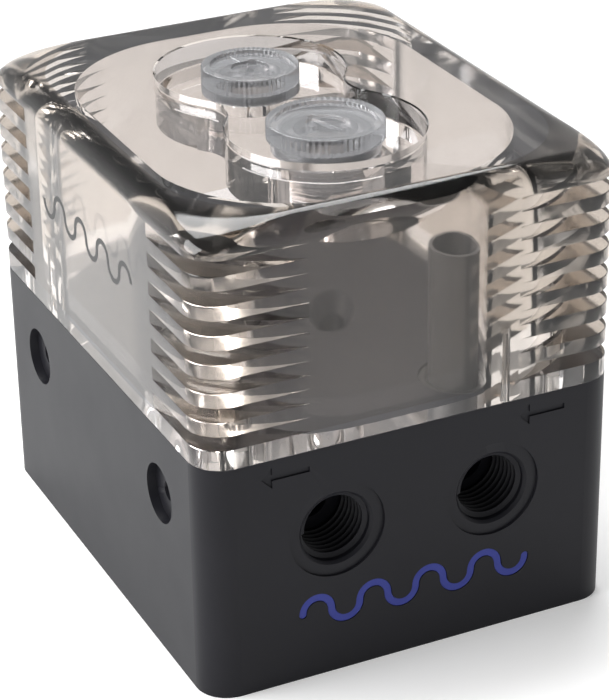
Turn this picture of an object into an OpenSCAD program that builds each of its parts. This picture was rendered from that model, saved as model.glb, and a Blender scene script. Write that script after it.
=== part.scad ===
// Coolant pump reservoir: a clear filling chamber bolted onto a black pump base.
// Millimetres, +Z up. The origin is the middle of the underside of the base,
// with the two threaded ports on the front face, towards -Y.

/* [Case] */
// Width across the port face
body_w = 80; // [76:1:90]
// Depth from the port face to the back
body_d = 98; // [94:1:110]
// Height of the black pump base
base_h = 45; // [42:1:50]
// Height of the clear reservoir above the base
top_h = 43; // [41:1:60]
// Radius of the four upright corners
corner_r = 6; // [3:0.5:8]

/* [Rounded top edge] */
// Height of the rounding along the top edge
cap_h = 4.8; // [3:0.2:5.4]
// How far the rounding brings the top face in from the sides
cap_inset = 4.2; // [3:0.2:5]
// Corner radius of the flat top face
cap_corner_r = 20; // [12:1:24]
// Steps that the rounding is lofted in
cap_steps = 8; // [4:1:10]

/* [Corner grooves] */
// Grooves on each corner
groove_count = 7; // [1:1:7]
// Height of one groove
groove_h = 2.65; // [1.5:0.05:3]
// Distance from one groove to the next
groove_pitch = 5.3; // [4:0.1:5.4]
// Thickness of the flange below the lowest groove
groove_first = 3.7; // [2.5:0.1:4]
// Radius of the curved groove floor
groove_floor_r = 25; // [22:0.5:28]
// How far in from both faces the centre of the groove floor lies
groove_floor_inset = 24.6; // [22:0.1:25.5]

/* [Coolant chamber] */
// Wall between the chamber and the outer faces
chamber_wall = 7; // [6:0.5:8]
// Corner radius of the chamber
chamber_r = 26; // [22:1:30]
// Thickness of the plate over the chamber
top_plate = 5.4; // [5:0.2:8]

/* [Filling recess] */
// Radius of each round half of the recess
recess_r = 17.65; // [16:0.05:18]
// Distance between the two filling ports
recess_pitch = 31.6; // [29:0.1:33]
// How far behind the middle the recess sits
recess_shift = 0.9; // [-1:0.1:2]
// Depth of the recess
recess_depth = 4.4; // [3:0.1:5]
// Radius that rounds the waist of the recess
waist_r = 8.4; // [4:0.1:10]
// Threaded length below the recess floor
fill_thread = 9; // [7:0.5:11]

/* [Pipe threads] */
// Outer radius of the G1/4 pipe thread
pipe_thread_r = 6.58; // [6.4:0.02:6.8]
// Root radius of the plugs' own G1/4 thread
plug_thread_r = 5.7; // [5.4:0.05:5.9]
// Length of the plugs' threaded shank
plug_thread = 8; // [6:0.5:9]

/* [Rear filling plug] */
// Radius over the knurling
rear_head_r = 9.1; // [8.8:0.1:11]
// Height of the head
rear_head_h = 5.2; // [4.5:0.1:7]

/* [Front filling plug] */
// Radius over the knurling
front_head_r = 10.55; // [9.5:0.05:12]
// Height of the knurled flange
front_head_h = 3.3; // [2.5:0.1:5]
// Height of the plain collar that lifts the flange off the recess floor
front_collar_h = 2.2; // [2:0.1:3]

/* [Both filling plugs] */
// Ribs round each head
knurl_count = 60; // [36:2:72]
// Depth of the knurling
knurl_depth = 0.4; // [0.2:0.05:0.6]
// Width of the raised rim round the dished top
head_rim = 1.7; // [1:0.1:2.5]
// Depth of the dished top
head_dish = 0.7; // [0.3:0.1:1]
// Radius of the well in the middle of the dish
well_r = 3.5; // [2.5:0.1:4]
// Depth of the well below the dish
well_depth = 0.6; // [0.3:0.1:0.8]
// Width of the coin slot
slot_w = 1.5; // [1:0.1:2]
// Length of the coin slot
slot_l = 9; // [5:0.5:10]
// Depth of the coin slot below the dish
slot_depth = 1.3; // [0.9:0.1:1.5]
// Thickness of the sealing ring's cord
plug_ring_cord = 1.8; // [1.4:0.1:2]

/* [Ports] */
// Distance between the outlet and the inlet
port_pitch = 30.4; // [29:0.2:33]
// Height of the ports above the underside
port_z = 28.4; // [28:0.1:31]
// Threaded depth behind the spot face
port_thread = 11; // [9:0.5:11]
// Radius of the spot face round each port
port_spot_r = 9.1; // [8:0.1:11]
// Depth of the spot face
port_spot = 0.5; // [0.2:0.1:1]
// Chamfer at the mouth of each port
port_chamfer = 0.5; // [0.2:0.1:0.8]
// Radius of the duct from the pump to the outlet
duct_r = 3.5; // [3:0.1:4]
// Radius of the eye that drains the chamber onto the impeller
inlet_eye_r = 5.5; // [5:0.1:6.5]
// Radius of the funnel at the top of the eye
inlet_funnel_r = 9; // [8:0.1:10]

/* [Standpipe] */
// Outer radius of the pipe that lifts the returning coolant
pipe_r = 5.4; // [4.8:0.1:5.8]
// Wall of the pipe
pipe_wall = 0.7; // [0.5:0.1:1]
// Height of the pipe above the base
pipe_h = 25.5; // [15:0.5:28]
// Depth of the pipe's socket in the base
pipe_socket = 6; // [4:0.5:8]
// Gap between the pipe and the rounded corner of the chamber
pipe_gap = 1.73; // [1.6:0.01:2.2]
// Radius of the drilling below the pipe
riser_r = 4.2; // [3.6:0.1:4.4]
// Thickness of the sealing ring round the pipe
pipe_ring_cord = 1.8; // [1.2:0.1:2]

/* [Seal and case screws] */
// Width of the seal in its groove
seal_w = 1.9; // [1.5:0.1:2.2]
// Height of the seal in its groove
seal_h = 1.35; // [1:0.05:2]
// How far outside the chamber the seal runs
seal_offset = 2.4; // [2:0.1:2.8]
// How far in from both faces the case screws stand
screw_inset = 9.75; // [9.5:0.05:10]
// Radius of the case screws' shank
screw_r = 2; // [1.5:0.1:2.1]
// Radius of the case screws' head
screw_head_r = 3.5; // [3:0.1:3.6]
// Height of the case screws' head
screw_head_h = 4; // [3:0.1:4.5]
// Length of the case screws' shank
screw_l = 22.5; // [20:0.5:24]
// Length of each case screw inside the clear reservoir
screw_bite = 7.5; // [6:0.5:10]

/* [Side mounting holes] */
// Distance between the two holes on each side
side_pitch = 59; // [50:1:64]
// Height of the holes above the underside
side_z = 32.1; // [30:0.1:36]
// Radius of the M4 thread
side_hole_r = 1.8; // [1.6:0.05:2]
// Depth of the hole behind its spot face
side_hole = 8; // [6:0.5:9]
// Radius of the spot face
side_spot_r = 5.5; // [4:0.1:7]
// Depth of the spot face
side_spot = 1.8; // [1:0.1:2.5]

/* [Front marks] */
// Width of the inlaid line
inlay_w = 1.5; // [1:0.1:2]
// Radius of each half wave of the line
inlay_r = 2.75; // [2:0.05:3]
// Half waves along the line
inlay_waves = 8; // [2:2:8]
// Height of the line above the underside
inlay_z = 13; // [10:0.5:16]
// Depth of the channel that holds the inlay
inlay_depth = 0.8; // [0.5:0.1:1.2]
// How far the inlay lies below the face
inlay_sink = 0.15; // [0.05:0.05:0.3]
// Length of each engraved flow arrow
arrow_l = 9; // [6:0.5:12]
// Height of the arrow head
arrow_head = 4; // [3:0.5:5]
// Line width of the arrow
arrow_w = 1; // [0.6:0.1:1.5]
// Depth of the engraving
arrow_depth = 0.35; // [0.2:0.05:0.6]
// Distance of the arrows below the top of the base
arrow_drop = 3.4; // [3:0.1:5]
// How far outside the port centres the arrows stand
arrow_out = 9.6; // [8:0.2:12]

/* [Motor housing] */
// Side of the square pump pocket in the base
pocket = 58; // [56:0.5:60]
// Corner radius of the pocket
pocket_r = 8; // [6:0.5:10]
// How far behind the middle the pump sits
pump_y = 4; // [3:0.5:5]
// Thickness of the mounting flange
flange_t = 3; // [2:0.5:4]
// Radius of the motor shell
shell_r = 26; // [25:0.5:27]
// Wall of the motor shell
shell_wall = 1.6; // [1:0.1:2]
// Radius inside the rotor pot
pot_r = 9.5; // [9.5:0.1:10]
// Wall of the rotor pot
pot_wall = 1.2; // [0.8:0.1:1.4]
// Floor of the rotor pot
pot_floor = 1.5; // [1:0.1:2]
// Depth of the rotor pot
pot_depth = 16.4; // [16:0.1:16.8]
// Depth of the pump pocket
pocket_h = 21; // [20.6:0.1:21.4]
// Thickness of the rear cover
cover_t = 1.5; // [1:0.1:2]
// How far the rear cover stays above the underside
cover_recess = 2; // [1.5:0.1:2.2]

/* [Pump screws] */
// How far the screws stand from the pump axis along X and Y
pump_screw_at = 24; // [23.5:0.1:24.5]
// Radius of the screw shank
pump_screw_r = 1.5; // [1.2:0.1:1.6]
// Length of the screw shank
pump_screw_l = 8; // [6:0.5:9]
// Radius of the screw head
pump_screw_head_r = 2.75; // [2.5:0.05:3]
// Height of the screw head
pump_screw_head_h = 2; // [1.5:0.1:2.5]
// Radius of the pump seal's centre line
pump_seal_r = 22; // [21:0.5:23]
// Thickness of the pump seal's cord
pump_seal_cord = 1.8; // [1.5:0.1:2]

/* [Rotor] */
// Radius of the impeller
impeller_r = 15.5; // [13:0.5:16.5]
// Thickness of the impeller's back plate
impeller_plate = 1.3; // [1:0.1:1.6]
// Blades on the impeller
blade_count = 7; // [5:1:9]
// Height of the blades
blade_h = 4; // [3:0.1:4.4]
// Thickness of the blades
blade_t = 1; // [0.8:0.1:1.4]
// Radius that the blades are curved to
blade_curve = 9; // [8.5:0.5:11]
// Radius of the impeller's hub
hub_r = 4.6; // [4:0.1:5]
// Radius of the magnet
magnet_r = 9.1; // [8.8:0.05:9.2]
// Length of the magnet
magnet_l = 13; // [10:0.5:13.4]
// Radius of the ceramic shaft
shaft_r = 1.5; // [1.2:0.1:1.8]
// Wall of the bearing bush
bush_wall = 1.4; // [1.2:0.1:1.5]
// Thickness of the thrust washer
washer_t = 0.8; // [0.5:0.1:1]
// Height of the hub's nose above the back plate
nose_h = 3.4; // [3:0.1:4]

/* [Stator] */
// Poles of the stator
pole_count = 6; // [3:1:6]
// Height of the laminated core
core_h = 8.2; // [7:0.2:8.4]
// Outer radius of the core
core_r = 22; // [21:0.5:23]
// Radial thickness of the core's outer ring
core_ring = 3.5; // [2.5:0.5:4]
// Width of each pole
pole_w = 4; // [3:0.5:5]
// Thickness of the winding round each pole
coil_t = 1.2; // [0.8:0.1:1.4]
// Radial length of each winding
coil_l = 4.6; // [3:0.2:5]
// Thickness of the circuit board
board_t = 1.6; // [1:0.1:1.8]
// Radius of the hole in the middle of the board
board_hole_r = 3; // [2:0.5:4]
// Distance from the axis to the near side of the driver chips
chip_at = 16; // [14:0.5:16.5]
// Radial length of each driver chip
chip_l = 4; // [3:0.5:4]
// Width of each driver chip
chip_w = 5; // [4:0.5:6]
// Distance from the axis to the capacitors
capacitor_at = 21.5; // [21.4:0.1:22]
// Radius of each capacitor
capacitor_r = 1.2; // [0.8:0.1:1.3]
// Height of the parts on the board
component_h = 0.9; // [0.5:0.1:1]

/* [Cable grommet] */
// Radius of the cable hole in the back of the base
cable_r = 4; // [3:0.5:4.5]
// Radius of the grommet's flange
grommet_flange_r = 5.6; // [5:0.1:6]
// Thickness of the grommet's flange
grommet_flange = 1.4; // [1:0.1:2]
// Radius of the hole through the grommet
grommet_hole_r = 2.2; // [1.5:0.1:2.6]
// Height of the cable hole above the underside
cable_z = 8; // [7:0.5:10]
// How far the cable hole lies from the middle
cable_x = 14; // [10:1:16]

/* [Clearances] */
// Gap round pieces that are seated in a pocket or groove
seat_gap = 0.05; // [0.02:0.01:0.1]
// Gap between pieces that turn or come apart
run_gap = 0.3; // [0.2:0.05:0.4]
// Radial gap between the shaft and its bush
shaft_gap = 0.05; // [0.02:0.01:0.08]
// Radial gap round a screw's shank in its clearance hole
screw_gap = 0.2; // [0.1:0.05:0.3]

/* [Hidden] */
$fn = 64;
eps = 0.01;
total_h = base_h + top_h;
cap_z = total_h - cap_h;
half_w = body_w / 2;
half_d = body_d / 2;
front_y = -half_d;
// Chamber
chamber_w = body_w - 2 * chamber_wall;
chamber_d = body_d - 2 * chamber_wall;
chamber_ceiling = total_h - top_plate;
recess_floor = total_h - recess_depth;
boss_z = recess_floor - fill_thread;
rear_port_y = recess_shift + recess_pitch / 2;
front_port_y = recess_shift - recess_pitch / 2;
waist_x = sqrt(pow(recess_r + waist_r, 2) - pow(recess_pitch / 2, 2));
// Case screws
screw_x = half_w - screw_inset;
screw_y = half_d - screw_inset;
screw_seat = base_h + screw_bite - screw_l;
// Ports and ducts
port_x = port_pitch / 2;
port_end = front_y + port_spot + port_thread;
pipe_reach = chamber_r - pipe_r - pipe_gap;
pipe_y = chamber_r - chamber_d / 2 - sqrt(pow(pipe_reach, 2) - pow(port_x - chamber_w / 2 + chamber_r, 2));
volute_r = port_x + duct_r;
volute_ceiling = port_z + duct_r;
volute_floor = port_z - duct_r;
// Pump levels, from the underside up
flange_z = pocket_h - flange_t;
pot_z = volute_floor - pot_depth;
cover_z = cover_recess;
board_z = cover_z + cover_t + 0.7;
core_z = flange_z - 1.6 - core_h;
bore_gap = 0.15;
impeller_z = volute_floor + run_gap;
magnet_z = impeller_z - magnet_l - seat_gap;
bush_r = shaft_r + shaft_gap + bush_wall;
shaft_boss_h = 0.8;
shaft_top = impeller_z + impeller_plate + 1;
washer_z = pot_z + shaft_boss_h;
bush_z = washer_z + washer_t + run_gap;

// ---------- shared outlines ----------

module rounded_rect(w, d, r) {
    square([w - 2 * r, d], center = true);
    square([w, d - 2 * r], center = true);
    for (sx = [-1, 1], sy = [-1, 1])
        translate([sx * (w / 2 - r), sy * (d / 2 - r)]) circle(r);
}

// Two round halves joined by a filleted waist.
module recess_outline(grow = 0) {
    translate([0, recess_shift]) {
        for (s = [-1, 1]) translate([0, s * recess_pitch / 2]) circle(recess_r + grow);
        difference() {
            polygon([[waist_x, 0], [0, recess_pitch / 2], [-waist_x, 0], [0, -recess_pitch / 2]]);
            for (s = [-1, 1]) translate([s * waist_x, 0]) circle(waist_r - grow);
        }
    }
}

// Points of a rounded rectangle, corner by corner, for the lofted block.
function corner_ring(w, d, r, z, n) = [
    for (c = [0 : 3], i = [0 : n])
        let (a = 90 * c + 90 * i / n,
             sx = (c == 0 || c == 3) ? 1 : -1,
             sy = c < 2 ? 1 : -1)
        [sx * (w / 2 - r) + r * cos(a), sy * (d / 2 - r) + r * sin(a), z]
];

module loft(rings) {
    m = len(rings[0]);
    top = len(rings) - 1;
    polyhedron(
        points = [for (ring = rings) each ring],
        faces = concat(
            [[for (i = [0 : m - 1]) i]],
            [[for (i = [m - 1 : -1 : 0]) top * m + i]],
            [for (k = [0 : top - 1], i = [0 : m - 1])
                [k * m + i, (k + 1) * m + i, (k + 1) * m + (i + 1) % m, k * m + (i + 1) % m]]
        ),
        convexity = 4
    );
}

module at_corners(x, y) {
    for (sx = [-1, 1], sy = [-1, 1]) translate([sx * x, sy * y, 0]) children();
}

module tube(outer, inner, h) {
    difference() {
        cylinder(r = outer, h = h);
        translate([0, 0, -1]) cylinder(r = inner, h = h + 2);
    }
}

// A round cord bent into a ring.
module cord_ring(centre_r, cord) {
    rotate_extrude() translate([centre_r, 0]) circle(cord / 2, $fn = 24);
}

// ---------- clear reservoir ----------

// Upright sides, then the rounding: the sides come in along a quarter ellipse while the corners open out.
module top_block() {
    n = 8;
    rounding = [for (k = [0 : cap_steps])
        let (a = 90 * k / cap_steps,
             s = 1 - cos(a),
             inset = cap_inset * s)
        corner_ring(body_w - 2 * inset, body_d - 2 * inset,
            corner_r + (cap_corner_r - corner_r) * s, cap_z + cap_h * sin(a), n)];
    loft(concat([corner_ring(body_w, body_d, corner_r, base_h, n)], rounding));
}

module corner_grooves() {
    c = groove_floor_inset;
    for (sx = [0, 1], sy = [0, 1]) mirror([sx, 0, 0]) mirror([0, sy, 0])
        for (k = [0 : groove_count - 1])
            translate([half_w - c, half_d - c, base_h + groove_first + k * groove_pitch])
                linear_extrude(groove_h) difference() {
                    square(c + 5);
                    circle(groove_floor_r, $fn = 96);
                }
}

module chamber() {
    translate([0, 0, base_h - 1]) difference() {
        linear_extrude(chamber_ceiling - base_h + 1)
            rounded_rect(chamber_w, chamber_d, chamber_r);
        translate([0, 0, boss_z - base_h + 1])
            linear_extrude(chamber_ceiling - boss_z + 1) recess_outline();
    }
}

module reservoir_top() {
    color([0.62, 0.58, 0.56, 0.45])
    difference() {
        top_block();
        corner_grooves();
        chamber();
        translate([0, 0, recess_floor]) linear_extrude(recess_depth + 1) recess_outline();
        for (y = [front_port_y, rear_port_y])
            translate([0, y, boss_z - 1]) cylinder(r = pipe_thread_r, h = fill_thread + 2);
        at_corners(screw_x, screw_y) translate([0, 0, base_h - 1])
            cylinder(r = screw_r + seat_gap, h = screw_bite + 1.8);
    }
}

module seal_line(w) {
    grow = seal_offset;
    difference() {
        rounded_rect(chamber_w + 2 * grow + w, chamber_d + 2 * grow + w, chamber_r + grow + w / 2);
        rounded_rect(chamber_w + 2 * grow - w, chamber_d + 2 * grow - w, chamber_r + grow - w / 2);
    }
}

module top_seal() {
    color("dimgray") translate([0, 0, base_h - seal_h]) linear_extrude(seal_h) seal_line(seal_w);
}

// ---------- black base ----------

module wave_line(w) {
    n = inlay_waves;
    for (i = [0 : n - 1]) translate([(2 * i + 1 - n) * inlay_r, 0])
        intersection() {
            difference() {
                circle(inlay_r + w / 2);
                circle(inlay_r - w / 2);
            }
            mirror([0, i % 2]) translate([-2 * inlay_r, 0]) square([4 * inlay_r, 2 * inlay_r]);
        }
    for (s = [-1, 1]) translate([s * n * inlay_r, 0]) circle(w / 2);
}

module flow_arrow() {
    tip = arrow_l / 2;
    polygon([[-tip, 0], [arrow_head / 2 - tip, arrow_head / 2], [arrow_head / 2 - tip, arrow_w / 2],
        [tip, arrow_w / 2], [tip, -arrow_w / 2], [arrow_head / 2 - tip, -arrow_w / 2],
        [arrow_head / 2 - tip, -arrow_head / 2]]);
}

// Turns a flat outline to face forwards, its front at y = 0 and its body behind.
module on_front(depth) {
    rotate([90, 0, 0]) translate([0, 0, -depth]) linear_extrude(depth + 1) children();
}

module port_cut(x) {
    translate([x, front_y, port_z]) rotate([-90, 0, 0]) {
        translate([0, 0, -1]) cylinder(r = port_spot_r, h = port_spot + 1);
        cylinder(r = pipe_thread_r, h = port_spot + port_thread);
        translate([0, 0, port_spot])
            cylinder(r1 = pipe_thread_r + port_chamfer, r2 = pipe_thread_r, h = port_chamfer);
    }
}

module side_hole_cut(sx, y) {
    translate([sx * half_w, y, side_z]) rotate([0, -90 * sx, 0]) {
        translate([0, 0, -1]) cylinder(r = side_spot_r, h = side_spot + 1);
        cylinder(r = side_hole_r, h = side_spot + side_hole);
    }
}

module pump_base() {
    color([0.17, 0.17, 0.18])
    difference() {
        linear_extrude(base_h) rounded_rect(body_w, body_d, corner_r);
        // threaded ports, outlet on the left and inlet on the right
        port_cut(-port_x);
        port_cut(port_x);
        // duct from the volute to the outlet, and the drilling up to the standpipe
        translate([-port_x, port_end - 1, port_z]) rotate([-90, 0, 0])
            cylinder(r = duct_r, h = pump_y - port_end + 1);
        translate([port_x, port_end - 1, port_z]) rotate([-90, 0, 0])
            cylinder(r = riser_r, h = pipe_y - port_end + 1);
        translate([port_x, pipe_y, port_z - riser_r]) cylinder(r = riser_r, h = base_h);
        translate([port_x, pipe_y, base_h - pipe_socket])
            cylinder(r = pipe_r + seat_gap, h = pipe_socket + 1);
        translate([port_x, pipe_y, base_h - pipe_ring_cord])
            cylinder(r = pipe_r + pipe_ring_cord, h = pipe_ring_cord + 1);
        // pump pocket, volute and the eye that drains the chamber
        translate([0, pump_y, -1]) linear_extrude(pocket_h + 1) rounded_rect(pocket, pocket, pocket_r);
        translate([0, pump_y, pocket_h - 1]) cylinder(r = volute_r, h = volute_ceiling - pocket_h + 1);
        translate([0, pump_y, volute_ceiling - 1]) cylinder(r = inlet_eye_r, h = base_h);
        translate([0, pump_y, base_h - (inlet_funnel_r - inlet_eye_r)])
            cylinder(r1 = inlet_eye_r, r2 = inlet_funnel_r + eps, h = inlet_funnel_r - inlet_eye_r + eps);
        for (sx = [-1, 1], sy = [-1, 1])
            translate([sx * pump_screw_at, pump_y + sy * pump_screw_at, pocket_h - 1])
                cylinder(r = pump_screw_r + seat_gap, h = pump_screw_l - flange_t + 2);
        // groove for the seal, and the stepped holes for the case screws
        translate([0, 0, base_h - seal_h - seat_gap]) linear_extrude(seal_h + 1)
            seal_line(seal_w + 2 * seat_gap);
        at_corners(screw_x, screw_y) {
            translate([0, 0, -1]) cylinder(r = screw_head_r + screw_gap, h = screw_seat + 1);
            cylinder(r = screw_r + screw_gap, h = base_h + 1);
        }
        // side mounting holes
        for (sx = [-1, 1], sy = [-1, 1]) side_hole_cut(sx, sy * side_pitch / 2);
        // channel for the inlaid line, and the engraved flow arrows
        translate([0, front_y, inlay_z]) on_front(inlay_depth) wave_line(inlay_w);
        for (s = [-1, 1]) translate([s * (port_x + arrow_out), front_y, base_h - arrow_drop])
            on_front(arrow_depth) flow_arrow();
        // cable hole with its counterbore
        translate([cable_x, half_d + 1, cable_z]) rotate([90, 0, 0]) {
            cylinder(r = cable_r + seat_gap, h = half_d);
            cylinder(r = grommet_flange_r + seat_gap, h = grommet_flange + 1);
        }
    }
}

module wave_inlay() {
    color([0.16, 0.22, 0.6])
    translate([0, front_y + inlay_depth, inlay_z]) rotate([90, 0, 0])
        linear_extrude(inlay_depth - inlay_sink) wave_line(inlay_w - 2 * seat_gap);
}

module case_screws() {
    color("silver")
    at_corners(screw_x, screw_y) difference() {
        union() {
            translate([0, 0, screw_seat - screw_head_h]) cylinder(r = screw_head_r, h = screw_head_h);
            translate([0, 0, screw_seat - eps]) cylinder(r = screw_r, h = screw_l + eps);
        }
        translate([0, 0, screw_seat - screw_head_h - 1]) cylinder(r = 1.7, h = 3, $fn = 6);
    }
}

module inlet_standpipe() {
    color([0.25, 0.25, 0.26])
    translate([port_x, pipe_y, base_h - pipe_socket])
        tube(pipe_r, pipe_r - pipe_wall, pipe_socket + pipe_h);
}

module standpipe_ring() {
    color("black")
    translate([port_x, pipe_y, base_h - pipe_ring_cord / 2])
        cord_ring(pipe_r + pipe_ring_cord / 2, pipe_ring_cord - 2 * seat_gap);
}

module cable_grommet() {
    color([0.1, 0.1, 0.1])
    translate([cable_x, half_d, cable_z]) rotate([90, 0, 0]) difference() {
        union() {
            cylinder(r = cable_r, h = half_d - pump_y - pocket / 2);
            cylinder(r = grommet_flange_r, h = grommet_flange);
        }
        translate([0, 0, -1]) cylinder(r = grommet_hole_r, h = half_d);
    }
}

// ---------- filling plugs ----------

// Straight ribs round a head, drawn as one toothed outline.
module knurled_disc(r, h) {
    n = knurl_count;
    linear_extrude(h) polygon([for (i = [0 : 2 * n - 1])
        let (a = 180 * i / n, q = r - (i % 2) * knurl_depth) [q * cos(a), q * sin(a)]]);
}

// The head stands on the recess floor, drawn with that floor at z = 0.
module fill_plug(head_r, flange_z0, head_top, slot_turn) {
    ring_r = pipe_thread_r + plug_ring_cord / 2 + seat_gap;
    difference() {
        union() {
            translate([0, 0, flange_z0]) knurled_disc(head_r, head_top - flange_z0);
            translate([0, 0, seat_gap]) cylinder(r = head_r - 0.8, h = flange_z0 + eps);
            translate([0, 0, -plug_thread]) cylinder(r = plug_thread_r, h = plug_thread + 1);
        }
        // groove for the sealing ring in the underside
        translate([0, 0, -eps]) difference() {
            cylinder(r = ring_r + plug_ring_cord / 2 + seat_gap, h = plug_ring_cord);
            translate([0, 0, -1]) cylinder(r = plug_thread_r, h = plug_ring_cord + 2);
        }
        // dished top with its well and coin slot
        translate([0, 0, head_top - head_dish]) cylinder(r = head_r - head_rim, h = head_dish + 1);
        rotate([0, 0, slot_turn]) translate([-slot_l / 2, -slot_w / 2, head_top - head_dish - slot_depth])
            cube([slot_l, slot_w, slot_depth + 1]);
        translate([0, 0, head_top - head_dish - well_depth]) cylinder(r = well_r, h = well_depth + 1);
    }
}

module plug_ring() {
    translate([0, 0, plug_ring_cord / 2])
        cord_ring(pipe_thread_r + plug_ring_cord / 2 + seat_gap, plug_ring_cord - 2 * seat_gap);
}

module rear_fill_plug() {
    color([0.75, 0.76, 0.8]) translate([0, rear_port_y, recess_floor])
        fill_plug(rear_head_r, seat_gap, rear_head_h, 60);
}

module rear_plug_ring() {
    color("black") translate([0, rear_port_y, recess_floor]) plug_ring();
}

module front_fill_plug() {
    color([0.75, 0.76, 0.8]) translate([0, front_port_y, recess_floor])
        fill_plug(front_head_r, front_collar_h, front_collar_h + front_head_h, -75);
}

module front_plug_ring() {
    color("black") translate([0, front_port_y, recess_floor]) plug_ring();
}

// ---------- pump ----------

module motor_housing() {
    color([0.2, 0.2, 0.22])
    translate([0, pump_y, 0]) difference() {
        union() {
            translate([0, 0, flange_z]) linear_extrude(flange_t)
                rounded_rect(pocket - 2 * run_gap, pocket - 2 * run_gap, pocket_r - run_gap);
            translate([0, 0, pocket_h - eps]) cylinder(r = volute_r - seat_gap, h = volute_floor - pocket_h + eps);
            translate([0, 0, cover_z + cover_t]) tube(shell_r, shell_r - shell_wall, flange_z - cover_z - cover_t + eps);
            translate([0, 0, pot_z - pot_floor]) cylinder(r = pot_r + pot_wall, h = pot_depth);
        }
        difference() {
            translate([0, 0, pot_z]) cylinder(r = pot_r, h = pot_depth + 1);
            translate([0, 0, pot_z - 1]) cylinder(r = shaft_r + 1.2, h = shaft_boss_h + 1);
        }
        translate([0, 0, pot_z - 0.5]) cylinder(r = shaft_r + seat_gap, h = 4);
        at_corners(pump_screw_at, pump_screw_at) translate([0, 0, flange_z - 1])
            cylinder(r = pump_screw_r + screw_gap, h = flange_t + 2);
        translate([0, 0, pocket_h - pump_seal_cord + 2 * seat_gap])
            tube(pump_seal_r + pump_seal_cord / 2, pump_seal_r - pump_seal_cord / 2, pump_seal_cord);
    }
}

module pump_seal() {
    color("black") translate([0, pump_y, pocket_h - pump_seal_cord / 2 + seat_gap])
        cord_ring(pump_seal_r, pump_seal_cord - 4 * seat_gap);
}

module pump_screws() {
    color("silver")
    translate([0, pump_y, 0]) at_corners(pump_screw_at, pump_screw_at) difference() {
        union() {
            translate([0, 0, flange_z - pump_screw_head_h])
                cylinder(r = pump_screw_head_r, h = pump_screw_head_h);
            translate([0, 0, flange_z - eps]) cylinder(r = pump_screw_r, h = pump_screw_l + eps);
        }
        translate([0, 0, flange_z - pump_screw_head_h - 1]) cylinder(r = 1.2, h = 2.2, $fn = 6);
    }
}

// One blade is a stretch of a curved wall from the eye to the rim.
module blade() {
    intersection() {
        translate([blade_curve, 0]) difference() {
            circle(blade_curve + blade_t / 2);
            circle(blade_curve - blade_t / 2);
        }
        translate([0, 0]) square(2 * impeller_r);
        difference() {
            circle(impeller_r - 0.4);
            circle(hub_r - 0.4);
        }
    }
}

module impeller() {
    color([0.85, 0.85, 0.82])
    translate([0, pump_y, 0]) difference() {
        union() {
            translate([0, 0, impeller_z]) cylinder(r = impeller_r, h = impeller_plate);
            for (i = [0 : blade_count - 1]) rotate([0, 0, 360 * i / blade_count])
                translate([0, 0, impeller_z + impeller_plate - eps]) linear_extrude(blade_h + eps) blade();
            translate([0, 0, magnet_z]) cylinder(r = hub_r, h = impeller_z - magnet_z + eps);
            translate([0, 0, impeller_z]) cylinder(r1 = hub_r, r2 = hub_r - 1.4, h = impeller_plate + nose_h);
        }
        translate([0, 0, magnet_z - 1]) cylinder(r = bush_r + seat_gap, h = impeller_z - magnet_z + 1);
        cylinder(r = shaft_r + run_gap, h = shaft_top + run_gap);
    }
}

module rotor_magnet() {
    color([0.3, 0.3, 0.33]) translate([0, pump_y, magnet_z]) tube(magnet_r, hub_r + seat_gap, magnet_l);
}

module bearing_bush() {
    color([0.35, 0.33, 0.3]) translate([0, pump_y, bush_z])
        tube(bush_r, shaft_r + shaft_gap, impeller_z - bush_z - seat_gap);
}

module thrust_washer() {
    color("ivory") translate([0, pump_y, washer_z]) tube(bush_r, shaft_r + shaft_gap, washer_t);
}

module rotor_shaft() {
    color("ivory") translate([0, pump_y, pot_z - 0.5]) cylinder(r = shaft_r, h = shaft_top - pot_z + 0.5);
}

module pole_places() {
    for (i = [0 : pole_count - 1]) rotate([0, 0, 360 * (i + 0.5) / pole_count]) children();
}

module stator_core() {
    bore = pot_r + pot_wall + bore_gap;
    color([0.5, 0.52, 0.55])
    translate([0, pump_y, core_z]) difference() {
        union() {
            tube(core_r, core_r - core_ring, core_h);
            pole_places() translate([bore - 1, -pole_w / 2, 0])
                cube([core_r - core_ring / 2 - bore + 1, pole_w, core_h]);
        }
        translate([0, 0, -1]) cylinder(r = bore, h = core_h + 2);
    }
}

module stator_windings() {
    inside = pole_w / 2 + bore_gap;
    end = sqrt(pow(core_r - core_ring, 2) - pow(inside + coil_t, 2)) - bore_gap;
    start = end - coil_l;
    color([0.72, 0.4, 0.18])
    translate([0, pump_y, core_z]) pole_places() difference() {
        translate([start, -inside - coil_t, -bore_gap - coil_t])
            cube([coil_l, 2 * (inside + coil_t), core_h + 2 * (bore_gap + coil_t)]);
        translate([start - 1, -inside, -bore_gap]) cube([coil_l + 2, 2 * inside, core_h + 2 * bore_gap]);
    }
}

module circuit_board() {
    color([0.1, 0.35, 0.2]) translate([0, pump_y, board_z])
        tube(shell_r - shell_wall - run_gap / 2, board_hole_r, board_t);
}

// Driver chips and capacitors on the face of the board that looks at the cover's rim.
module board_components() {
    color([0.12, 0.12, 0.12]) translate([0, pump_y, board_z + board_t]) {
        for (a = [30 : 60 : 330]) rotate([0, 0, a]) translate([chip_at, -chip_w / 2, 0])
            cube([chip_l, chip_w, component_h]);
        for (a = [0 : 60 : 300]) rotate([0, 0, a]) translate([capacitor_at, 0, 0])
            cylinder(r = capacitor_r, h = component_h);
    }
}

module rear_cover() {
    color([0.2, 0.2, 0.22]) translate([0, pump_y, cover_z]) {
        cylinder(r = shell_r, h = cover_t);
        translate([0, 0, cover_t - eps]) tube(shell_r - shell_wall - seat_gap, shell_r - shell_wall - 1.5, 0.7 + eps);
    }
}

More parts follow.
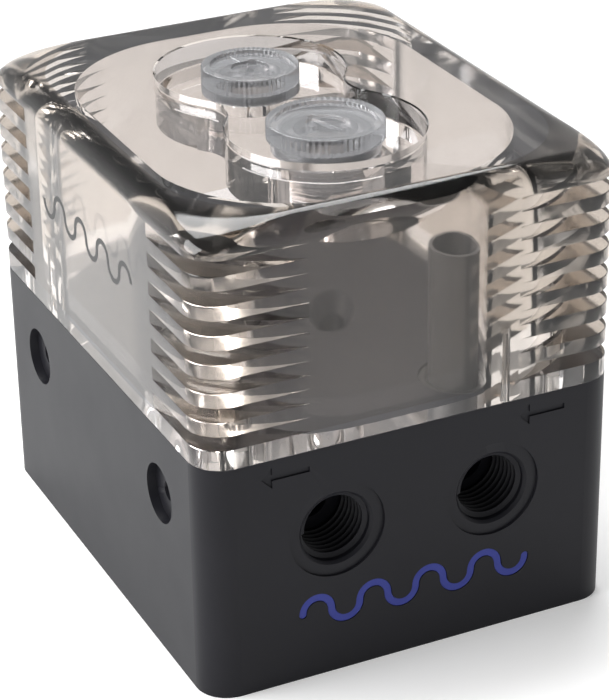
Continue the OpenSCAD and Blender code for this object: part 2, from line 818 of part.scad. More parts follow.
reservoir_top();
top_seal();
pump_base();
case_screws();
inlet_standpipe();
standpipe_ring();
rear_fill_plug();
rear_plug_ring();
front_fill_plug();
front_plug_ring();
wave_inlay();
motor_housing();
pump_seal();
pump_screws();
impeller();
rotor_magnet();
bearing_bush();
thrust_washer();
rotor_shaft();
stator_core();
stator_windings();
circuit_board();
board_components();
rear_cover();
cable_grommet();
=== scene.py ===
"""Looks of the coolant pump reservoir: a smoked clear block on a black pump base."""

import math

import bmesh
import bpy
from mathutils import Matrix, Vector


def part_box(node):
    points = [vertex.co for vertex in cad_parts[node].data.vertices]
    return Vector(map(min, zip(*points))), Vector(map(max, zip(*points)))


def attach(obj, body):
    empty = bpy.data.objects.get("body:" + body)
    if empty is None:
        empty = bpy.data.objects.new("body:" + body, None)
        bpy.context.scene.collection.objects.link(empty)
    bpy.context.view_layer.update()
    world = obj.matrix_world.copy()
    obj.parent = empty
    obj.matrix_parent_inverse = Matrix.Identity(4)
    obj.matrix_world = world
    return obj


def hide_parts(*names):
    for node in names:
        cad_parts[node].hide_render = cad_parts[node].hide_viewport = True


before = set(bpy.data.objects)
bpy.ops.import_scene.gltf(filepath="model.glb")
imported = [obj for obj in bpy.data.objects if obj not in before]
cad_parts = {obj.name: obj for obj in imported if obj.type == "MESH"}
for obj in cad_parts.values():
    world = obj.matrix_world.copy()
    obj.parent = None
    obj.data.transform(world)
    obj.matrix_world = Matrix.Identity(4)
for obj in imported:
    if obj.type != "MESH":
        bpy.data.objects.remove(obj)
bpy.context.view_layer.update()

MM = 0.001

# ---------------------------------------------------------------- sizes, some read from model.glb

_, block_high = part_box("reservoir_top")
_, base_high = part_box("pump_base")
rear_low, rear_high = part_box("rear_fill_plug")
front_low, front_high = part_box("front_fill_plug")

# The clear block stays this far inside its solid and above the base, so that no two faces meet.
SKIN = 0.02 * MM
HALF_W, HALF_D = block_high.x - SKIN, block_high.y - SKIN
BASE_H, TOTAL_H = base_high.z, block_high.z
BLOCK_Z = BASE_H + SKIN
REAR_PORT_Y = (rear_low.y + rear_high.y) / 2
FRONT_PORT_Y = (front_low.y + front_high.y) / 2

# Clear block: its upright corners, the rounding up to its top, and the grooves round each corner.
CORNER_R = 6 * MM
CAP_H, CAP_INSET, CAP_CORNER_R = 4.8 * MM, 4.2 * MM, 20 * MM
CAP_Z = TOTAL_H - CAP_H
GROOVES, GROOVE_H, GROOVE_PITCH = 7, 2.65 * MM, 5.3 * MM
GROOVE_FIRST = BASE_H + 3.7 * MM
GROOVE_FLOOR_R, GROOVE_CENTRE_INSET = 25 * MM, 24.6 * MM

# Clear block: the chamber, the recess in the top, the boss under it and the holes.
CHAMBER_WALL, CHAMBER_R = 7 * MM, 26 * MM
CHAMBER_CEILING = TOTAL_H - 5.4 * MM
RECESS_R, WAIST_R = 17.65 * MM, 8.4 * MM
RECESS_FLOOR = TOTAL_H - 4.4 * MM
BOSS_Z = RECESS_FLOOR - 9 * MM
PORT_R = 6.58 * MM
SCREW_INSET, SCREW_HOLE_R, SCREW_HOLE_TOP = 9.75 * MM, 2.05 * MM, BASE_H + 8.3 * MM

# How much the edges are broken: the block's lower edge and grooves, the recess and the filling ports.
EDGE, RIM, PORT_LEAD = 0.12 * MM, 0.25 * MM, 0.3 * MM

# Base: the ports in the front and the side holes, from where their threads start to where they end.
PORT_X, PORT_Z, PORT_START, PORT_END = 15.2 * MM, 28.4 * MM, 1.0 * MM, 11.5 * MM
SIDE_Y, SIDE_Z, SIDE_START, SIDE_END = 29.5 * MM, 32.1 * MM, 1.8 * MM, 9.8 * MM

# Threads: each pair of radii is the ridge's foot and crest.
PIPE_PITCH, METRIC_PITCH = 1.337 * MM, 0.7 * MM
BASE_PORT_THREAD = PORT_R + 0.03 * MM, 5.75 * MM
SIDE_HOLE_THREAD = 1.82 * MM, 1.6 * MM
FILLING_PORT_THREAD = PORT_R - 0.01 * MM, 6.3 * MM
PLUG_THREAD = 5.71 * MM, 6.15 * MM
FILLING_THREAD_START, FILLING_THREAD_L = BOSS_Z + 0.05 * MM, RECESS_FLOOR - BOSS_Z - 0.4 * MM
PLUG_THREAD_START, PLUG_THREAD_L = RECESS_FLOOR - 7.8 * MM, 5.6 * MM
THREAD_FOOT, THREAD_CREST = 0.42, 0.1  # half of the foot and half of the crest, as shares of the pitch

# Steps of the round stretches.
CORNER_STEPS, CAP_STEPS, CHAMBER_STEPS, LEAD_STEPS = 16, 20, 40, 4
RECESS_STEPS, WAIST_STEPS, PORT_STEPS, SCREW_STEPS = 40, 12, 48, 24
THREAD_STEPS, WAVE_STEPS = 32, 14


# ---------------------------------------------------------------- mesh helpers

MERGE = 1e-7  # points closer than this are one
SAME_DIGITS = 7  # decimals in which a point and its fresh copy agree
FLAT_AREA = 60 * MM * MM  # faces above this area keep sharp edges, so that they shade flat

# A copy of a CAD node: how close its points are merged, and, in degrees, the bend up to which its
# faces are joined, the bend above which an edge is broken and the bend above which it shades sharp.
COPY_MERGE, COPY_FLAT, COPY_BROKEN, COPY_SHARP = 2e-6, 0.5, 30, 20
BEVEL_SEGMENTS = 2


def arc(cx, cy, r, start, end, steps):
    """Points of an arc, angles in degrees, both ends included."""
    turns = [math.radians(start + (end - start) * i / steps) for i in range(steps + 1)]
    return [(cx + r * math.cos(t), cy + r * math.sin(t)) for t in turns]


def circle(cx, cy, r, steps):
    """Points of a full circle, without the last one, which would repeat the first."""
    return arc(cx, cy, r, 0, 360 - 360 / steps, steps - 1)


def four_corners(quarter):
    """A closed outline from the quarter in the +X +Y corner, which runs anticlockwise."""
    back = quarter[::-1]
    return (quarter + [(-x, y) for x, y in back] + [(-x, -y) for x, y in quarter]
            + [(x, -y) for x, y in back])


def ring_edges(ring):
    """The edges that join each point of a closed ring to the one before it."""
    pairs = zip(ring[-1:] + ring[:-1], ring)
    return [next(edge for edge in here.link_edges if before in edge.verts) for before, here in pairs]


def start_ring(bm, outline, z):
    """A closed ring of edges along an outline at one height."""
    ring = [bm.verts.new((x, y, z)) for x, y in outline]
    for i, vert in enumerate(ring):
        bm.edges.new((ring[i - 1], vert))
    return ring


def next_ring(bm, ring, outline, heights):
    """Extrudes a ring and moves its copy onto another outline; heights is one z or one per point."""
    made = bmesh.ops.extrude_edge_only(bm, edges=ring_edges(ring))
    copies = {v.co.to_tuple(SAME_DIGITS): v for v in made["geom"] if isinstance(v, bmesh.types.BMVert)}
    ordered = [copies[v.co.to_tuple(SAME_DIGITS)] for v in ring]
    levels = heights if isinstance(heights, list) else [heights] * len(ring)
    for vert, (x, y), z in zip(ordered, outline, levels):
        vert.co = (x, y, z)
    return ordered


def fill(bm, *rings):
    """A flat face inside the first ring, with the other rings as its holes."""
    edges = [e for ring in rings for e in ring_edges(ring)]
    bmesh.ops.triangle_fill(bm, use_beauty=True, edges=edges)


def finish_mesh(bm, name, smooth=35):
    """Closes a mesh, faces it outwards and makes it a piece, shaded soft up to a bend in degrees."""
    bmesh.ops.remove_doubles(bm, verts=bm.verts[:], dist=MERGE)
    bmesh.ops.dissolve_degenerate(bm, dist=MERGE, edges=bm.edges[:])
    bmesh.ops.recalc_face_normals(bm, faces=bm.faces[:])
    mesh = bpy.data.meshes.new(name)
    bm.to_mesh(mesh)
    bm.free()
    mesh.shade_smooth()
    mesh.set_sharp_from_angle(angle=math.radians(smooth))
    for face in mesh.polygons:
        if face.area > FLAT_AREA:
            for corner in face.loop_indices:
                mesh.edges[mesh.loops[corner].edge_index].use_edge_sharp = True
    piece = bpy.data.objects.new(name, mesh)
    bpy.context.scene.collection.objects.link(piece)
    return piece


def place(piece, finishes, body="case", replaced=()):
    """Gives a piece its finishes and its body, and hides the CAD nodes that it stands for."""
    for finish in finishes:
        piece.data.materials.append(finish)
    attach(piece, body)
    if replaced:
        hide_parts(*replaced)


def softened_copy(node, bevel, finish, body="case"):
    """A merged copy of a CAD node with its flat faces joined and its sharp edges broken."""
    bm = bmesh.new()
    bm.from_mesh(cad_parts[node].data)
    bmesh.ops.remove_doubles(bm, verts=bm.verts[:], dist=COPY_MERGE)
    bmesh.ops.dissolve_limit(bm, angle_limit=math.radians(COPY_FLAT), verts=bm.verts[:], edges=bm.edges[:])
    bend = math.radians(COPY_BROKEN)
    sharp = [e for e in bm.edges if len(e.link_faces) == 2 and e.calc_face_angle() > bend]
    bmesh.ops.bevel(bm, geom=sharp, offset=bevel, offset_type="OFFSET", affect="EDGES",
                    segments=BEVEL_SEGMENTS, profile=0.5, material=-1, clamp_overlap=True)
    place(finish_mesh(bm, node + "_finished", COPY_SHARP), [finish], body, [node])


# ---------------------------------------------------------------- shader helpers

WHITE = (1, 1, 1, 1)
ACRYLIC_IOR, COAT_ROUGHNESS = 1.49, 0.1
MOTTLE_DETAIL, GRAIN_DETAIL, GRAIN_DEPTH = 4.0, 3.0, 0.02 * MM


def add(tree, kind, **values):
    """A node with its properties and inputs set; an input's name has _ where it has a space."""
    made = tree.nodes.new(kind)
    for key, value in values.items():
        if hasattr(made, key):
            setattr(made, key, value)
        else:
            made.inputs[key.replace("_", " ")].default_value = value
    return made


def new_material(name):
    """A material with an empty node tree, and that tree."""
    material = bpy.data.materials.new(name)
    material.use_nodes = True
    material.node_tree.nodes.clear()
    return material, material.node_tree


def new_group(name, inputs, outputs):
    """An empty node group with named sockets, and its input and output nodes."""
    group = bpy.data.node_groups.new(name, "ShaderNodeTree")
    for way, sockets in (("INPUT", inputs), ("OUTPUT", outputs)):
        for label, kind in sockets:
            group.interface.new_socket(label, in_out=way, socket_type="NodeSocket" + kind)
    return group, group.nodes.new("NodeGroupInput"), group.nodes.new("NodeGroupOutput")


def grain_group():
    """Fine grain and slow mottling: two colours, two roughnesses and a bumped normal."""
    group, given, out = new_group(
        "surface_grain",
        [("Colour A", "Color"), ("Colour B", "Color"), ("Rough A", "Float"), ("Rough B", "Float"),
         ("Mottle Scale", "Float"), ("Grain Scale", "Float"), ("Bump", "Float")],
        [("Colour", "Color"), ("Roughness", "Float"), ("Normal", "Vector")])
    link = group.links.new
    place_at = add(group, "ShaderNodeTexCoord")
    mottle = add(group, "ShaderNodeTexNoise", Detail=MOTTLE_DETAIL)
    grain = add(group, "ShaderNodeTexNoise", Detail=GRAIN_DETAIL)
    for texture, scale in ((mottle, "Mottle Scale"), (grain, "Grain Scale")):
        link(place_at.outputs["Object"], texture.inputs["Vector"])
        link(given.outputs[scale], texture.inputs["Scale"])
    colour = add(group, "ShaderNodeMix", data_type="RGBA")
    rough = add(group, "ShaderNodeMix", data_type="FLOAT")
    for mix, word in ((colour, "Colour"), (rough, "Rough")):
        link(mottle.outputs["Fac"], mix.inputs["Factor"])
        link(given.outputs[word + " A"], mix.inputs["A"])
        link(given.outputs[word + " B"], mix.inputs["B"])
    bump = add(group, "ShaderNodeBump", Distance=GRAIN_DEPTH)
    link(grain.outputs["Fac"], bump.inputs["Height"])
    link(given.outputs["Bump"], bump.inputs["Strength"])
    link(colour.outputs["Result"], out.inputs["Colour"])
    link(rough.outputs["Result"], out.inputs["Roughness"])
    link(bump.outputs["Normal"], out.inputs["Normal"])
    return group


GRAIN = grain_group()


def grained_shader(tree, colour_a, colour_b, rough, mottle=60.0, grain=4000.0, bump=0.1, **values):
    """A Principled shader whose colour, roughness and normal come from the grain."""
    surface = add(tree, "ShaderNodeGroup", node_tree=GRAIN,
                  Colour_A=(*colour_a, 1), Colour_B=(*colour_b, 1), Rough_A=rough[0], Rough_B=rough[1],
                  Mottle_Scale=mottle, Grain_Scale=grain, Bump=bump)
    shader = add(tree, "ShaderNodeBsdfPrincipled", **values)
    tree.links.new(surface.outputs["Colour"], shader.inputs["Base Color"])
    tree.links.new(surface.outputs["Roughness"], shader.inputs["Roughness"])
    tree.links.new(surface.outputs["Normal"], shader.inputs["Normal"])
    return shader


def solid_finish(name, colour_a, colour_b, rough, metallic=0.0, coat=0.0, specular=0.5, **grain):
    """An opaque finish that wanders between two colours and two roughnesses."""
    material, tree = new_material(name)
    shader = grained_shader(tree, colour_a, colour_b, rough, Metallic=metallic, Specular_IOR_Level=specular,
                            Coat_Weight=coat, Coat_Roughness=COAT_ROUGHNESS, **grain)
    out = add(tree, "ShaderNodeOutputMaterial")
    tree.links.new(shader.outputs["BSDF"], out.inputs["Surface"])
    return material


def clear_finish(name, colour_a, colour_b, rough, transmission=1.0, **grain):
    """A clear plastic that lamps reach through; each surface tints what is seen through it."""
    material, tree = new_material(name)
    link = tree.links.new
    shader = grained_shader(tree, colour_a, colour_b, rough, IOR=ACRYLIC_IOR,
                            Transmission_Weight=transmission, **grain)
    through = add(tree, "ShaderNodeBsdfTransparent")
    path = add(tree, "ShaderNodeLightPath")
    choose = add(tree, "ShaderNodeMixShader")
    out = add(tree, "ShaderNodeOutputMaterial")
    link(path.outputs["Is Shadow Ray"], choose.inputs["Fac"])
    link(shader.outputs["BSDF"], choose.inputs[1])
    link(through.outputs["BSDF"], choose.inputs[2])
    link(choose.outputs["Shader"], out.inputs["Surface"])
    return material


# ---------------------------------------------------------------- finishes

polished_acrylic = clear_finish("polished_acrylic", (0.87, 0.842, 0.832), (0.85, 0.822, 0.812), (0.0, 0.02),
                                mottle=30, grain=900, bump=0.0)
# Milled groove faces: the roughness and grain are the milling; the darker brown tint is painted shade in
# the grooves.
milled_shaded_acrylic = clear_finish("milled_shaded_acrylic", (0.42, 0.36, 0.31), (0.52, 0.46, 0.4), (0.04, 0.14),
                              mottle=200, grain=2500, bump=0.15)
# The recess wall: the same clear plastic tinted darker grey, which is painted shade in the recess.
recess_shaded_acrylic = clear_finish("recess_shaded_acrylic", (0.4, 0.4, 0.43), (0.46, 0.46, 0.49), (0.05, 0.12),
                              mottle=200, grain=2500, bump=0.1)
plug_plastic = clear_finish("plug_plastic", (0.43, 0.435, 0.45), (0.49, 0.495, 0.51), (0.1, 0.18),
                            transmission=0.8, mottle=80, grain=2500, bump=0.1)
black_acetal = solid_finish("black_acetal", (0.009, 0.009, 0.012), (0.013, 0.013, 0.017), (0.4, 0.48),
                            specular=0.2, mottle=90, grain=1500, bump=0.03)
pipe_acetal = solid_finish("pipe_acetal", (0.05, 0.05, 0.052), (0.06, 0.06, 0.063), (0.4, 0.5))
blue_resin = solid_finish("blue_resin", (0.03, 0.042, 0.27), (0.04, 0.055, 0.31), (0.4, 0.5),
                          specular=0.3, bump=0.3)
black_paint = solid_finish("black_paint", (0.008, 0.008, 0.008), (0.012, 0.012, 0.012), (0.4, 0.5))
rubber = solid_finish("seal_rubber", (0.012, 0.012, 0.012), (0.02, 0.02, 0.02), (0.55, 0.7), bump=0.3)
zinc = solid_finish("zinc_plate", (0.62, 0.62, 0.6), (0.7, 0.69, 0.66), (0.25, 0.35), metallic=1.0)
motor_black = solid_finish("moulded_black", (0.03, 0.03, 0.032), (0.04, 0.04, 0.043), (0.45, 0.55))
impeller_white = solid_finish("impeller_plastic", (0.7, 0.7, 0.67), (0.76, 0.76, 0.73), (0.35, 0.45))
ferrite = solid_finish("ferrite", (0.06, 0.06, 0.063), (0.08, 0.08, 0.083), (0.4, 0.6), metallic=0.4)
carbon = solid_finish("carbon_bush", (0.05, 0.048, 0.045), (0.08, 0.075, 0.07), (0.35, 0.5))
ceramic = solid_finish("ceramic", (0.8, 0.79, 0.75), (0.86, 0.85, 0.82), (0.12, 0.2), coat=0.3)
laminations = solid_finish("laminations", (0.35, 0.35, 0.37), (0.45, 0.45, 0.47), (0.35, 0.5), metallic=0.9)
copper = solid_finish("copper_wire", (0.55, 0.22, 0.08), (0.65, 0.3, 0.12), (0.25, 0.4),
                      metallic=0.9, coat=0.5)
solder_mask = solid_finish("solder_mask", (0.02, 0.14, 0.06), (0.03, 0.18, 0.08), (0.25, 0.35), coat=0.3)
chip_black = solid_finish("chip_black", (0.02, 0.02, 0.02), (0.03, 0.03, 0.03), (0.5, 0.6))


# ---------------------------------------------------------------- clear reservoir block

GROOVE_X, GROOVE_Y = HALF_W - GROOVE_CENTRE_INSET, HALF_D - GROOVE_CENTRE_INSET
# From beside the centre of a groove's floor to where that floor meets the straight side.
GROOVE_REACH = math.sqrt(GROOVE_FLOOR_R ** 2 - GROOVE_CENTRE_INSET ** 2)
LEAST_LEAD = 1 * MM  # the straight stretch beside a corner is never shorter
# The second finish is milled, with painted shade darkening the grooves; the third darkens the recess wall
# with painted shade.
MILLED_SHADED, RECESS_SHADED = 1, 2  # places of the block's second and third finish


def block_quarter(inset, r):
    """Outer outline in one corner, with stretches of the straight sides at both ends."""
    w, d = HALF_W - inset, HALF_D - inset
    side_y = min(GROOVE_Y + GROOVE_REACH, d - r - LEAST_LEAD)
    face_x = min(GROOVE_X + GROOVE_REACH, w - r - LEAST_LEAD)
    start = [(w, side_y + (d - r - side_y) * i / LEAD_STEPS) for i in range(LEAD_STEPS)]
    end = [(w - r + (face_x - w + r) * i / LEAD_STEPS, d) for i in range(1, LEAD_STEPS + 1)]
    return start + arc(w - r, d - r, r, 0, 90, CORNER_STEPS) + end


def groove_quarter(count):
    """Floor of a groove in one corner, with as many points as the outer outline."""
    edge = math.degrees(math.asin(GROOVE_REACH / GROOVE_FLOOR_R))
    return arc(GROOVE_X, GROOVE_Y, GROOVE_FLOOR_R, edge, 90 - edge, count - 1)


def figure_eight(grow=0.0):
    """Two round halves joined by a filleted waist, anticlockwise from the right of the waist."""
    middle = (REAR_PORT_Y + FRONT_PORT_Y) / 2
    half_pitch = (REAR_PORT_Y - FRONT_PORT_Y) / 2
    waist_x = math.sqrt((RECESS_R + WAIST_R) ** 2 - half_pitch ** 2)
    lean = math.degrees(math.atan2(half_pitch, waist_x))
    r, waist_r = RECESS_R + grow, WAIST_R - grow
    rear = arc(0, middle + half_pitch, r, -lean, 180 + lean, RECESS_STEPS)
    left = arc(-waist_x, middle, waist_r, lean, -lean, WAIST_STEPS)
    front = arc(0, middle - half_pitch, r, 180 - lean, 360 + lean, RECESS_STEPS)
    right = arc(waist_x, middle, waist_r, 180 + lean, 180 - lean, WAIST_STEPS)
    return rear + left[1:-1] + front + right[1:-1]


def give_new_faces(bm, before, finish):
    """Puts a finish on the faces that weren't there before."""
    for face in set(bm.faces) - before:
        face.material_index = finish


def block_outside(bm):
    """Sides with their grooved corners, and the rounding up to the flat top. Returns both end rings."""
    sides = four_corners(block_quarter(0, CORNER_R))
    floors = four_corners(groove_quarter(len(sides) // 4))
    gaps = [math.dist(a, b) for a, b in zip(sides, floors)]
    breaks = [min(EDGE, gap / 2) for gap in gaps]
    lips = [tuple(Vector(a).lerp(b, k / gap) if gap > MERGE else Vector(a))
            for a, b, k, gap in zip(sides, floors, breaks, gaps)]
    bottom = start_ring(bm, four_corners(block_quarter(EDGE, CORNER_R - EDGE)), BLOCK_Z)
    ring = next_ring(bm, bottom, sides, BASE_H + EDGE)
    for k in range(GROOVES):
        low = GROOVE_FIRST + k * GROOVE_PITCH
        high = low + GROOVE_H
        ring = next_ring(bm, ring, sides, [low - b for b in breaks])
        ring = next_ring(bm, ring, lips, low)
        # The groove's floor and flats take the milled finish, whose darker brown tint is painted shade.
        before = set(bm.faces)
        ring = next_ring(bm, ring, floors, low)
        ring = next_ring(bm, ring, floors, high)
        ring = next_ring(bm, ring, lips, high)
        give_new_faces(bm, before, MILLED_SHADED)
        ring = next_ring(bm, ring, sides, [min(high + b, CAP_Z) for b in breaks])
    for k in range(CAP_STEPS + 1):
        turn = math.radians(90 * k / CAP_STEPS)
        come_in = 1 - math.cos(turn)
        corner_r = CORNER_R + (CAP_CORNER_R - CORNER_R) * come_in
        outline = four_corners(block_quarter(CAP_INSET * come_in, corner_r))
        ring = next_ring(bm, ring, outline, CAP_Z + CAP_H * math.sin(turn))
    return bottom, ring


def filling_port(bm, y):
    """One port through the recess floor. Returns its top and bottom rings."""
    top = start_ring(bm, circle(0, y, PORT_R + PORT_LEAD, PORT_STEPS), RECESS_FLOOR)
    ring = next_ring(bm, top, circle(0, y, PORT_R, PORT_STEPS), RECESS_FLOOR - PORT_LEAD)
    bottom = next_ring(bm, ring, circle(0, y, PORT_R, PORT_STEPS), BOSS_Z)
    return top, bottom


def screw_hole(bm, x, y):
    """A blind hole for a case screw. Returns its mouth ring."""
    outline = circle(x, y, SCREW_HOLE_R, SCREW_STEPS)
    mouth = start_ring(bm, outline, BLOCK_Z)
    fill(bm, next_ring(bm, mouth, outline, SCREW_HOLE_TOP))
    return mouth


def clear_block():
    """The reservoir: its outside, the recess with its two ports, the chamber and the screw holes."""
    bm = bmesh.new()
    outer_bottom, outer_top = block_outside(bm)
    rim = start_ring(bm, figure_eight(RIM), TOTAL_H)
    wall = next_ring(bm, rim, figure_eight(), TOTAL_H - RIM)
    # The recess wall takes the darker grey finish, which is painted shade.
    before = set(bm.faces)
    recess_floor = next_ring(bm, wall, figure_eight(), RECESS_FLOOR)
    give_new_faces(bm, before, RECESS_SHADED)
    ports = [filling_port(bm, y) for y in (FRONT_PORT_Y, REAR_PORT_Y)]
    boss_low = start_ring(bm, figure_eight(), BOSS_Z)
    boss_top = next_ring(bm, boss_low, figure_eight(), CHAMBER_CEILING)
    w, d = HALF_W - CHAMBER_WALL, HALF_D - CHAMBER_WALL
    chamber = four_corners(arc(w - CHAMBER_R, d - CHAMBER_R, CHAMBER_R, 0, 90, CHAMBER_STEPS))
    chamber_low = start_ring(bm, chamber, BLOCK_Z)
    chamber_top = next_ring(bm, chamber_low, chamber, CHAMBER_CEILING)
    screws = [screw_hole(bm, sx * (HALF_W - SCREW_INSET), sy * (HALF_D - SCREW_INSET))
              for sx in (-1, 1) for sy in (-1, 1)]
    fill(bm, outer_top, rim)
    fill(bm, recess_floor, *[top for top, _ in ports])
    fill(bm, boss_low, *[bottom for _, bottom in ports])
    fill(bm, chamber_top, boss_top)
    fill(bm, outer_bottom, chamber_low, *screws)
    place(finish_mesh(bm, "clear_block"), [polished_acrylic, milled_shaded_acrylic, recess_shaded_acrylic],
          replaced=["reservoir_top"])


clear_block()


# ---------------------------------------------------------------- threads

THREAD_SMOOTH = 50


def thread_turns(name, radii, pitch, length, matrix, finish, body="case"):
    """One helical ridge, worked out along +Z from the origin and then moved by the matrix."""
    bm = bmesh.new()
    foot_r, crest_r = radii
    foot, crest = pitch * THREAD_FOOT, pitch * THREAD_CREST
    profile = [(foot_r, -foot), (crest_r, -crest), (crest_r, crest), (foot_r, foot)]
    start = [bm.verts.new((r, 0, z + foot)) for r, z in profile]
    edges = [bm.edges.new((start[i - 1], vert)) for i, vert in enumerate(start)]
    turns = (length - 2 * foot) / pitch
    steps = round(turns * THREAD_STEPS)
    made = bmesh.ops.spin(bm, geom=start + edges, axis=(0, 0, 1), angle=math.tau * turns, steps=steps,
                          dvec=(0, 0, pitch * turns / steps), use_merge=False)
    end = [part for part in made["geom_last"] if isinstance(part, bmesh.types.BMEdge)]
    bmesh.ops.edgenet_fill(bm, edges=edges)
    bmesh.ops.edgenet_fill(bm, edges=end)
    bmesh.ops.transform(bm, matrix=matrix, verts=bm.verts[:])
    place(finish_mesh(bm, name, THREAD_SMOOTH), [finish], body)


def looking(direction, at):
    """Turns +Z to a direction and moves the origin to a point."""
    turn = Vector(direction).to_track_quat("Z", "Y").to_matrix().to_4x4()
    return Matrix.Translation(at) @ turn


for side, word in ((-1, "outlet"), (1, "inlet")):
    thread_turns(word + "_port_thread", BASE_PORT_THREAD, PIPE_PITCH, PORT_END - PORT_START,
                 looking((0, 1, 0), (side * PORT_X, -HALF_D + PORT_START, PORT_Z)),
                 black_acetal)
for side, side_word in ((-1, "left"), (1, "right")):
    for end, end_word in ((-1, "front"), (1, "rear")):
        thread_turns(f"{side_word}_{end_word}_hole_thread", SIDE_HOLE_THREAD, METRIC_PITCH,
                     SIDE_END - SIDE_START,
                     looking((-side, 0, 0), (side * (HALF_W - SIDE_START), end * SIDE_Y, SIDE_Z)),
                     black_acetal)
for y, word in ((REAR_PORT_Y, "rear"), (FRONT_PORT_Y, "front")):
    thread_turns(word + "_port_thread", FILLING_PORT_THREAD, PIPE_PITCH, FILLING_THREAD_L,
                 looking((0, 0, 1), (0, y, FILLING_THREAD_START)), polished_acrylic)
    thread_turns(word + "_plug_thread", PLUG_THREAD, PIPE_PITCH, PLUG_THREAD_L,
                 looking((0, 0, 1), (0, y, PLUG_THREAD_START)), plug_plastic, word + "_plug")


# ---------------------------------------------------------------- line on the left face

def wave_mark():
    """A plain black wave let into the clear left face, from half circles above and below its height."""
    half_waves, r, width, depth, z = 8, 2.6 * MM, 1.0 * MM, 0.3 * MM, 68.5 * MM
    centre = []
    for k in range(half_waves):
        middle = half_waves * r - (2 * k + 1) * r
        half_wave = arc(middle, 0, r, 0, 180 if k % 2 else -180, WAVE_STEPS)
        centre += half_wave[1:] if centre else half_wave
    bm = bmesh.new()
    rows = []
    for i, (y, rise) in enumerate(centre):
        before, after = centre[max(i - 1, 0)], centre[min(i + 1, len(centre) - 1)]
        across = Vector((-(after[1] - before[1]), after[0] - before[0])).normalized() * width / 2
        rows.append([bm.verts.new((-HALF_W - SKIN, y + s * across.x, z + rise + s * across.y))
                     for s in (-1, 1)])
    for a, b in zip(rows, rows[1:]):
        bm.faces.new((a[0], a[1], b[1], b[0]))
    back = bmesh.ops.extrude_face_region(bm, geom=bm.faces[:])
    moved = [v for v in back["geom"] if isinstance(v, bmesh.types.BMVert)]
    bmesh.ops.translate(bm, vec=(depth, 0, 0), verts=moved)
    place(finish_mesh(bm, "left_wave_mark"), [black_paint])


wave_mark()


# ---------------------------------------------------------------- base and CAD-shaped pieces

WIDE_BREAK, BREAK, KNURL_BREAK, INLAY_BREAK = 0.15 * MM, 0.1 * MM, 0.08 * MM, 0.05 * MM

softened_copy("pump_base", WIDE_BREAK, black_acetal)
softened_copy("inlet_standpipe", BREAK, pipe_acetal)
softened_copy("wave_inlay", INLAY_BREAK, blue_resin)
softened_copy("cable_grommet", WIDE_BREAK, rubber)
softened_copy("case_screws", WIDE_BREAK, zinc)
softened_copy("pump_screws", BREAK, zinc)
softened_copy("motor_housing", BREAK, motor_black)
softened_copy("rear_cover", BREAK, motor_black)
for word in ("rear", "front"):
    softened_copy(word + "_fill_plug", KNURL_BREAK, plug_plastic, word + "_plug")

# The pieces that keep their CAD shape take only a finish.
for node, finish in {
    "top_seal": rubber, "standpipe_ring": rubber, "rear_plug_ring": rubber, "front_plug_ring": rubber,
    "pump_seal": rubber, "impeller": impeller_white, "rotor_magnet": ferrite, "bearing_bush": carbon,
    "thrust_washer": ceramic, "rotor_shaft": ceramic, "stator_core": laminations,
    "stator_windings": copper, "circuit_board": solder_mask, "board_components": chip_black,
}.items():
    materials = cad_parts[node].data.materials
    materials.clear()
    materials.append(finish)


# ---------------------------------------------------------------- studio

FLOOR_REACH, FLOOR_COLOUR, FLOOR_GLOW = 4.0, (0.85, 0.85, 0.85, 1), 0.25
FADE_START, FADE_END = 0.15, 0.5  # distances from the middle between which the floor turns white
SKY_LOW, SKY_HIGH = 0.05, 0.6  # between these sines of the elevation the sky's light falls off
SKY_BRIGHT, SKY_DIM = 0.9, 0.15
LAMP_AIM = (0, 0, 0.04)


def studio_floor():
    """A pale floor that takes the object's shadow and turns plain white away from it."""
    bm = bmesh.new()
    bmesh.ops.create_grid(bm, x_segments=1, y_segments=1, size=FLOOR_REACH)
    floor = finish_mesh(bm, "floor")
    material, tree = new_material("pale_floor")
    link = tree.links.new
    base = add(tree, "ShaderNodeBsdfDiffuse", Color=FLOOR_COLOUR)
    glow = add(tree, "ShaderNodeEmission", Color=WHITE, Strength=FLOOR_GLOW)
    white = add(tree, "ShaderNodeEmission", Color=WHITE, Strength=1.0)
    where = add(tree, "ShaderNodeTexCoord")
    away = add(tree, "ShaderNodeVectorMath", operation="LENGTH")
    fade = add(tree, "ShaderNodeMapRange", From_Min=FADE_START, From_Max=FADE_END)
    both = add(tree, "ShaderNodeAddShader")
    spread = add(tree, "ShaderNodeMixShader")
    choose = add(tree, "ShaderNodeMixShader")
    out = add(tree, "ShaderNodeOutputMaterial")
    link(where.outputs["Object"], away.inputs[0])
    link(away.outputs["Value"], fade.inputs["Value"])
    link(fade.outputs["Result"], spread.inputs["Fac"])
    link(both.outputs["Shader"], spread.inputs[1])
    link(white.outputs["Emission"], spread.inputs[2])
    link(base.outputs["BSDF"], both.inputs[0])
    link(glow.outputs["Emission"], both.inputs[1])
    link(seen_directly(tree), choose.inputs["Fac"])
    link(base.outputs["BSDF"], choose.inputs[1])
    link(spread.outputs["Shader"], choose.inputs[2])
    link(choose.outputs["Shader"], out.inputs["Surface"])
    floor.data.materials.append(material)


def seen_directly(tree):
    """1 for rays from the camera, and for rays that reach the floor by gloss or through glass."""
    path = add(tree, "ShaderNodeLightPath")
    camera_or_gloss = add(tree, "ShaderNodeMath", operation="MAXIMUM")
    or_glass = add(tree, "ShaderNodeMath", operation="MAXIMUM")
    tree.links.new(path.outputs["Is Camera Ray"], camera_or_gloss.inputs[0])
    tree.links.new(path.outputs["Is Glossy Ray"], camera_or_gloss.inputs[1])
    tree.links.new(camera_or_gloss.outputs["Value"], or_glass.inputs[0])
    tree.links.new(path.outputs["Is Transmission Ray"], or_glass.inputs[1])
    return or_glass.outputs["Value"]


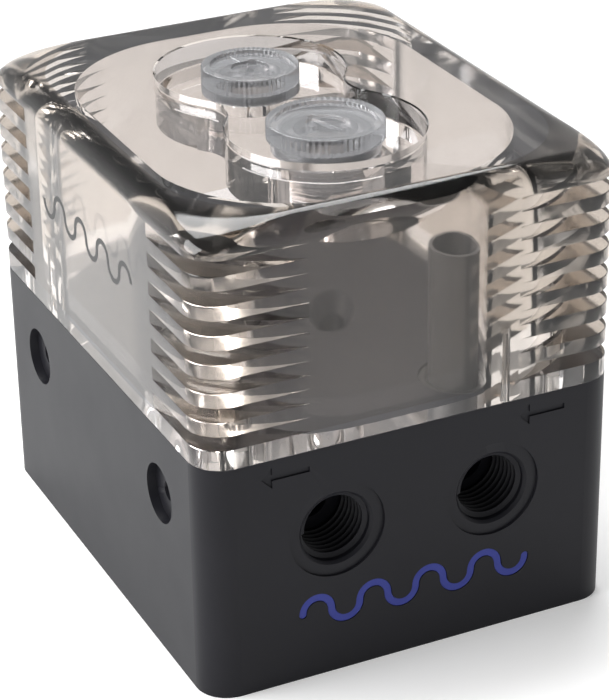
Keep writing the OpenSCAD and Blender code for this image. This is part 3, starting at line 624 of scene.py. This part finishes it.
def studio_world():
    """Soft light, bright near the horizon and dim overhead; the camera itself sees plain white."""
    world = bpy.data.worlds.new("studio")
    bpy.context.scene.world = world
    world.use_nodes = True
    tree = world.node_tree
    tree.nodes.clear()
    link = tree.links.new
    where = add(tree, "ShaderNodeTexCoord")
    split = add(tree, "ShaderNodeSeparateXYZ")
    level = add(tree, "ShaderNodeMapRange", From_Min=SKY_LOW, From_Max=SKY_HIGH,
                To_Min=SKY_BRIGHT, To_Max=SKY_DIM)
    fills = add(tree, "ShaderNodeBackground", Color=WHITE)
    shows = add(tree, "ShaderNodeBackground", Color=WHITE, Strength=1.0)
    path = add(tree, "ShaderNodeLightPath")
    choose = add(tree, "ShaderNodeMixShader")
    out = add(tree, "ShaderNodeOutputWorld")
    link(where.outputs["Generated"], split.inputs["Vector"])
    link(split.outputs["Z"], level.inputs["Value"])
    link(level.outputs["Result"], fills.inputs["Strength"])
    link(path.outputs["Is Camera Ray"], choose.inputs["Fac"])
    link(fills.outputs["Background"], choose.inputs[1])
    link(shows.outputs["Background"], choose.inputs[2])
    link(choose.outputs["Shader"], out.inputs["Surface"])


def soft_box(name, at, width, height, power):
    """A rectangular lamp that is aimed at the object."""
    lamp = bpy.data.lights.new(name, "AREA")
    lamp.shape, lamp.size, lamp.size_y, lamp.energy = "RECTANGLE", width, height, power
    holder = bpy.data.objects.new(name, lamp)
    holder.location = at
    holder.rotation_mode = "QUATERNION"
    holder.rotation_quaternion = (Vector(LAMP_AIM) - Vector(at)).to_track_quat("-Z", "Y")
    bpy.context.scene.collection.objects.link(holder)


def studio_camera():
    """The camera stands in front, to the left and above, and leans a little."""
    azimuth, elevation, roll = math.radians(-24.97), math.radians(26.53), math.radians(-1.12)
    target, distance = Vector((0, 0, 39.3 * MM)), 481.4 * MM
    back = Vector((math.sin(azimuth) * math.cos(elevation), -math.cos(azimuth) * math.cos(elevation),
                   math.sin(elevation)))
    data = bpy.data.cameras.new("camera")
    data.sensor_width, data.lens = 36, 132.4
    data.shift_x, data.shift_y = 0.0154, -0.0131
    data.clip_start, data.clip_end = 0.01, 20
    camera = bpy.data.objects.new("camera", data)
    turn = (-back).to_track_quat("-Z", "Y").to_matrix().to_4x4() @ Matrix.Rotation(roll, 4, "Z")
    camera.matrix_world = Matrix.Translation(target + back * distance) @ turn
    bpy.context.scene.collection.objects.link(camera)
    bpy.context.scene.camera = camera


studio_floor()
studio_world()
soft_box("left_box", at=(-0.7, 0.1, 0.55), width=0.6, height=0.6, power=9)
soft_box("top_box", at=(0.1, 0.5, 0.9), width=0.8, height=0.5, power=9)
studio_camera()
bpy.context.scene.view_settings.view_transform = "Standard"
